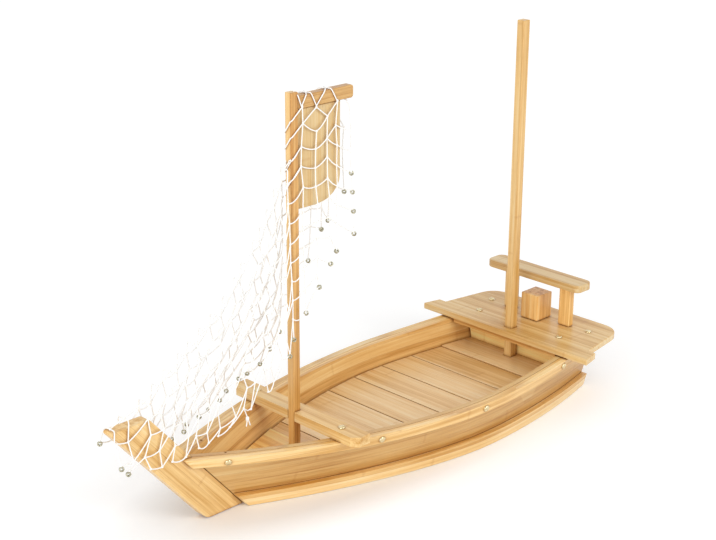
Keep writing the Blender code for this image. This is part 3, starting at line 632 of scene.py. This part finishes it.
# The free part's fold from the mast to the stem head, and the edges of both flaps below it
RIDGE = [(-105.2, 0, 336), (-118, 0, 306), (-132, 0, 279), (-159, 0, 243), (-176, 0, 221),
         (-204, 0, 197), (-240, 0, 172), (-283, 0, 142), (STEM_TIP, 0, STEM_TOP + 1.9)]
PORT_FORE = [(-104.9, PORT_HANG, 164), (-121, PORT_HANG, 133), (-146, PORT_HANG, 111),
             (-172, PORT_HANG, 94), (-206, PORT_HANG, 84), (-243, PORT_HANG, 78),
             (-272, PORT_HANG, 76), (-300, PORT_HANG, 82), (STEM_TIP, PORT_HANG, 91)]
STARBOARD_FORE = [(-67, 50, 146), (-71, 62, 118), (-73.5, 77, 97), (-81.5, 95.8, 77.3),
                  (-102.3, 92.3, 77.3), (-136.5, 78.3, 69.7), (-171, 60.5, 71.8),
                  (-204, 44.4, 74.6), (-238, 27.3, 76.4), (-283, 12.5, 113), (STEM_TIP, 12.5, 112)]

# Columns under the boom from its end to the mast: x, then the knot on the boom's edge, the first full
# row and the pitch as distances from the fold, and then the ends of both flaps
SAIL_COLUMNS = [(-24.2, None, 51.4, 19.7, (-24.2, PORT_HANG, 248), (-19.5, 10, 287)),
                (-43.0, 18.6, 41.3, 20.3, (-48, PORT_HANG, 236), (-37, 14, 259)),
                (-55.6, None, 31.7, 20.2, (-57, PORT_HANG, 224), (-43, 18, 250)),
                (-70.6, 18.8, 42.3, 18.1, (-73.5, PORT_HANG, 206), (-50, 28, 218)),
                (-90.0, 16.4, 34.0, 20.4, (-92, PORT_HANG, 183), (-58, 39, 182))]


def clear_of_wood(point):
    """Moves a cord's point out of the wood that it hangs against, sideways or up."""
    room = CORD + HANG_GAP
    for low, high in SOLIDS.values():
        depths = np.concatenate((point - low + room, high + room - point))
        if depths.min() > 0.0:
            depths[2] = np.inf
            i = int(depths.argmin())
            point[i % 3] += depths[i] if i > 2 else -depths[i]
    front = STEM_FOOT - STEM_RAKE * point[2]
    beside, above = STEM_HALF + room - abs(point[1]), STEM_TOP + room - point[2]
    if beside > 0.0 and above > 0.0 and front - room < point[0] < front + STEM_WIDTH + room:
        if above < beside:
            point[2] += above
        else:
            point[1] += math.copysign(beside, point[1])
    return point


class Path:
    """A polyline by distance along it."""

    def __init__(self, points):
        self.points = np.array(points, dtype=float)
        steps = np.linalg.norm(np.diff(self.points, axis=0), axis=1)
        self.reach = np.concatenate(([0.0], np.cumsum(steps)))
        self.length = self.reach[-1]

    def at(self, distance):
        return np.array([np.interp(distance, self.reach, self.points[:, i]) for i in range(3)])

    def share(self, share):
        return self.at(share * self.length)


class Column:
    """One hanging cord down both flaps. Distances from the fold are negative to port.

    Top is the distance of a knot above the full rows, or None, and first that of the first full row.
    """

    def __init__(self, fold, ends, half, top, first_row, first, pitch, sag=0.0, flare=FLARE, zigzag=0.0):
        self.on_ridge = top == 0.0
        self.flaps = {-1: self.flap(fold, ends[0], -1, half, 0.0, flare),
                      1: self.flap(fold, ends[1], 1, half, sag, FLARE)}
        self.knots = {}
        for side, flap in self.flaps.items():
            places = [] if top is None else [(first_row - 1, top)]
            row, place = first_row, first
            while place + 0.4 * pitch < flap.length:
                places.append((row, place))
                row += 1
                place += pitch
            places.append((row, flap.length))
            for row, place in places:
                loose = 0.0 if place < FIRM_KNOTS * CELL else LOOSE
                swing = zigzag * (-1) ** row if loose else 0.0
                nudge = np.array([rng.uniform(-loose, loose) + swing,
                                  side * rng.uniform(0.0, 0.4 * loose),
                                  rng.uniform(-loose, loose)])
                self.knots[side, row] = (side * place, nudge)

    def flap(self, fold, edge, side, half, sag, flare):
        """The cord's way from the fold's middle, round its shoulder and down to the flap's edge."""
        points = [(fold[0], 0.0, fold[2])]
        for turn in (0, 45, 90):
            a = math.radians(turn)
            points.append((fold[0], side * (half - SHOULDER + SHOULDER * math.sin(a)),
                           fold[2] - SHOULDER + SHOULDER * math.cos(a)))
        start, edge = np.array(points[-1]), np.array(edge)
        for step in range(1, FLAP_STEPS + 1):
            t = step / FLAP_STEPS
            point = start + (edge - start) * t
            point[1] = side * (half + (abs(edge[1]) - half) * t ** flare)
            point[2] -= sag * 4 * t * (1 - t)
            points.append(point)
        return Path(points)

    def at(self, distance):
        return self.flaps[1 if distance > 0 else -1].at(abs(distance))

    def spot(self, side, row):
        distance, nudge = self.knots[side, row]
        return clear_of_wood(self.at(distance) + nudge)

    def rows(self, side):
        return sorted(row for s, row in self.knots if s == side)

    def last_row(self, side):
        return self.rows(side)[-1]


def net_columns():
    """The columns on the sail, from the boom's end to the mast, and those that hang from the ridge."""
    over_boom = BOOM_TOP + HANG_GAP + CORD
    on_sail = [Column((x, 0, over_boom), (port, starboard), BESIDE_WOOD, top, 1, first, pitch,
                      flare=SAIL_FLARE)
               for x, top, first, pitch, port, starboard in SAIL_COLUMNS]
    ridge, fore, far_fore = Path(RIDGE), Path(PORT_FORE), Path(STARBOARD_FORE)
    free = []
    for i in range(FREE_COLUMNS):
        uneven = rng.uniform(-UNEVEN, UNEVEN) if 0 < i < FREE_COLUMNS - 1 else 0.0
        share = FIRST_SHARE + (1 - FIRST_SHARE) * (i + uneven) / (FREE_COLUMNS - 1)
        # the fold widens to the stem's width, and the sag fades out toward the stem
        half = BESIDE_WOOD + (STEM_HALF + HANG_GAP + CORD - BESIDE_WOOD) * min(1.0, share * 1.4)
        sag = FREE_SAG * min(1.0, 2.2 * (1 - share))
        ends = (fore.share(share), far_fore.share(share))
        free.append(Column(ridge.share(share), ends, half, 0.0, RIDGE_ROW + 1,
                           (1 + STAGGER * (i % 2)) * CELL, CELL, sag,
                           zigzag=0.0 if i == 0 else ZIGZAG))
    return on_sail, free


class Cords:
    """Many round cords in one mesh, with turns and lengths kept for the twist."""

    def __init__(self, sides=6):
        self.sides = sides
        self.points = []
        self.faces = []
        self.grain = []

    def add(self, route, radii=None):
        route = [Vector(p) for p in route]
        radii = radii or [CORD] * len(route)
        start, sides = len(self.points), self.sides
        ahead = (route[1] - route[0]).normalized()
        out = ahead.orthogonal().normalized()
        run = 0.0
        runs = []
        for i, point in enumerate(route):
            before, after = route[max(i - 1, 0)], route[min(i + 1, len(route) - 1)]
            run += (point - before).length
            runs.append(run * MM)
            turned = (after - before).normalized()
            out = ahead.rotation_difference(turned) @ out
            ahead = turned
            beside = ahead.cross(out)
            for k in range(sides):
                a = 2 * math.pi * k / sides
                spoke = (out * math.cos(a) + beside * math.sin(a)) * radii[i]
                self.points.append(tuple((point + spoke) * MM))
        for i in range(len(route) - 1):
            a, b = start + i * sides, start + (i + 1) * sides
            for k in range(sides):
                n = (k + 1) % sides
                self.faces.append((a + k, a + n, b + n, b + k))
                corners = ((k, i), (k + 1, i), (k + 1, i + 1), (k, i + 1))
                self.grain += [(turn / sides, runs[place], 0.0) for turn, place in corners]
        last = start + (len(route) - 1) * sides
        caps = ((start, 0.0, range(sides - 1, -1, -1)), (last, runs[-1], range(sides)))
        for end, length, order in caps:
            self.faces.append(tuple(end + k for k in order))
            self.grain += [(k / sides, length, 0.0) for k in order]

    def knot(self, point, ahead, size=1.0):
        """A drawn-tight lump of cord round a crossing."""
        ahead = Vector(ahead).normalized()
        self.add([Vector(point) + ahead * place * size for place, _ in KNOT_SHAPE],
                 [radius * size for _, radius in KNOT_SHAPE])

    def mesh(self, name):
        mesh = bpy.data.meshes.new(name)
        mesh.from_pydata(self.points, [], self.faces)
        mesh.shade_smooth()
        mesh.set_sharp_from_angle(angle=CORD_SHADING)
        layer = mesh.attributes.new("grain", "FLOAT_VECTOR", "CORNER")
        layer.data.foreach_set("vector", np.array(self.grain, dtype=np.float32).ravel())
        return mesh


def hang_column(cords, column, first_row=0):
    """One column's cord on both flaps from a row down, with a knot at each crossing."""
    for side in (-1, 1):
        rows = [row for row in column.rows(side) if row >= first_row]
        for upper, lower in zip(rows, rows[1:]):
            cross_cord(cords, column, column, side, upper, lower, 0.0)
            if column.knots[side, upper][0] != 0.0 or side < 0:
                ahead = column.spot(side, lower) - column.spot(side, upper)
                cords.knot(column.spot(side, upper), ahead)


def cross_cord(cords, first, second, side, row_a, row_b, droop):
    """A cord between two columns, over the surface that they hang in."""
    (u_a, nudge_a), (u_b, nudge_b) = first.knots[side, row_a], second.knots[side, row_b]
    route = []
    for step in range(CORD_STEPS + 1):
        t = step / CORD_STEPS
        u = u_a + (u_b - u_a) * t
        if first.on_ridge == second.on_ridge:
            point = first.at(u) * (1 - t) + second.at(u) * t
        else:
            point = first.at(u_a) * (1 - t) + second.at(u_b) * t
        point = point + nudge_a * (1 - t) + nudge_b * t
        point[2] -= droop * 4 * t * (1 - t)
        route.append(clear_of_wood(point))
    cords.add(route)


def fold_cord(cords, x, column, side):
    """A cord from the middle of the boom's top, at x, to a column's knot on the boom's edge."""
    distance, _ = column.knots[side, 0]
    route = []
    for step in range(CORD_STEPS + 1):
        t = step / CORD_STEPS
        point = column.at(distance * t)
        point[0] = x + (point[0] - x) * t
        route.append(clear_of_wood(point))
    cords.add(route)


def sail_net(cords, columns):
    """The part that lies on the boom and the sail, with a zigzag over the boom."""
    end, fourth, third, second, by_mast = columns
    fore, middle, aft = FOLD_KNOTS
    for column, first_row in ((end, 1), (fourth, 0), (third, 1), (second, 1), (by_mast, 0)):
        hang_column(cords, column, first_row)
    for side in (-1, 1):
        for x, column in ((fore, by_mast), (middle, by_mast), (middle, second), (aft, second),
                          (aft, fourth)):
            fold_cord(cords, x, column, side)
        for first, row_a, other, row_b in ((by_mast, 1, second, 0), (second, 0, third, 1),
                                           (third, 1, fourth, 0), (third, 2, fourth, 1)):
            cross_cord(cords, first, other, side, row_a, row_b, 0.0)
        cords.knot(second.spot(side, 0), (0, 0, 1))
        join_columns(cords, second, by_mast, side, 1)
        join_columns(cords, third, second, side, 1)
        join_columns(cords, fourth, third, side, 2)
        join_columns(cords, end, fourth, side, 1)
    cross_cord(cords, fourth, end, 1, 0, 1, 0.0)
    # one cord passes under the boom near its end
    under = [(-33, 5.9, BOOM_FOOT + 2), (-28.5, 4.2, BOOM_FOOT - 1.2),
             (-27.5, -1.5, BOOM_FOOT - 1.4), (-26, -5.2, BOOM_FOOT - 9)]
    cords.add([fourth.spot(1, 0)] + [np.array(p) for p in under] + [end.spot(-1, 1)])
    # and some go round the front of the mast
    front, beside = MAST_FRONT - HANG_GAP - CORD, BESIDE_WOOD
    for row in range(MAST_TURNS):
        near, far = by_mast.spot(-1, row), by_mast.spot(1, row + 1)
        level = near[2]
        turn = [(front + 1.2, -beside, level - 11.5), (front, -beside + 1.2, level - 12.5),
                (front, 0.0, level - 18.7), (front, beside - 1.2, level - 24.5),
                (front + 1.2, beside, level - 25)]
        cords.add([near] + [np.array(p) for p in turn] + [far])


def join_columns(cords, first, second, side, first_row, slack=SLACK):
    """The cords between two columns from a row down, slack except near the fold."""
    last = min(first.last_row(side), second.last_row(side))
    for row in range(first_row, last + 1):
        places = [abs(column.knots[side, row][0]) for column in (first, second)]
        if max(places) == 0.0 and side > 0:
            continue
        droop = 0.0 if min(places) < FIRM_CORDS * CELL else rng.uniform(0.6, 1.4) * slack * CELL
        if row == first.last_row(side) == second.last_row(side):
            droop = rng.uniform(*EDGE_DROOP) * CELL
        cross_cord(cords, first, second, side, row, row, droop)


def build_net(cords, on_sail, free):
    sail_net(cords, on_sail)
    for column in free:
        hang_column(cords, column)
    for side in (-1, 1):
        join_columns(cords, on_sail[-1], free[0], side, RIDGE_ROW, MAST_SLACK)
        for first, second in zip(free, free[1:]):
            join_columns(cords, first, second, side, RIDGE_ROW)


def add_bead(target, place):
    """A thick ring bead that hangs from its cord by the rim."""
    facing = Vector((rng.uniform(-0.9, 0.1), rng.uniform(-1.0, -0.5), rng.uniform(-0.1, 0.6)))
    turn = facing.to_track_quat("Z", "Y")
    middle = Vector(place) - Vector((0.0, 0.0, BEAD_RIM * BEAD))
    rings = []
    for i in range(BEAD_AROUND):
        a = 2 * math.pi * i / BEAD_AROUND
        ring = []
        for k in range(BEAD_SECTION):
            b = 2 * math.pi * k / BEAD_SECTION
            reach = BEAD * (BEAD_RIM + BEAD_WALL * math.cos(b))
            point = Vector((reach * math.cos(a), reach * math.sin(a), BEAD_DEPTH * BEAD * math.sin(b)))
            ring.append(target.verts.new((middle + turn @ point) * MM))
        rings.append(ring)
    for i in range(BEAD_AROUND):
        here, ahead = rings[i], rings[(i + 1) % BEAD_AROUND]
        for k in range(BEAD_SECTION):
            n = (k + 1) % BEAD_SECTION
            target.faces.new((here[k], ahead[k], ahead[n], here[n]))


def add_net():
    on_sail, free = net_columns()
    cords = Cords()
    build_net(cords, on_sail, free)
    port_ends = [column.spot(-1, column.last_row(-1)) for column in on_sail + free]
    starboard_ends = [column.spot(1, column.last_row(1)) for column in on_sail + free]
    bare = [p for p in port_ends if BARE_EDGE[0] < p[0] < BARE_EDGE[1]]
    places = [p for p in port_ends if not BARE_EDGE[0] < p[0] < BARE_EDGE[1]] + starboard_ends
    # the end column has beads on the rows above its end too
    places += [on_sail[0].spot(-1, on_sail[0].last_row(-1) - back) for back in (1, 2, 3)]
    beads = bmesh.new()
    for place in places:
        add_bead(beads, place)
        cords.knot(place, (1, 0, 0), BEAD_KNOT)
    for place in bare:
        cords.knot(place, (1, 0, 0))
    tie = min(port_ends, key=lambda p: abs(p[0] - TIE_AT))
    cords.knot(tie - np.array((0.0, 0.0, 1.5)), (0, 0, 1), TIE_KNOT)
    for lean in (-2.6, 2.2):
        cords.add([tie, tie + np.array((lean * 0.5, -0.8, -4.0)), tie + np.array((lean, -1.2, -8.5))])
    mesh = cords.mesh("net_cords")
    mesh.materials.append(cotton())
    net = add_piece("net_cords", mesh, "drape_net", "drape_net")
    mesh = bpy.data.meshes.new("net_beads")
    beads.to_mesh(mesh)
    beads.free()
    mesh.shade_smooth()
    set_grain(mesh, points_of(mesh))
    mesh.materials.append(bead_finish())
    bead_piece = add_piece("net_beads", mesh, "drape_net")


add_net()
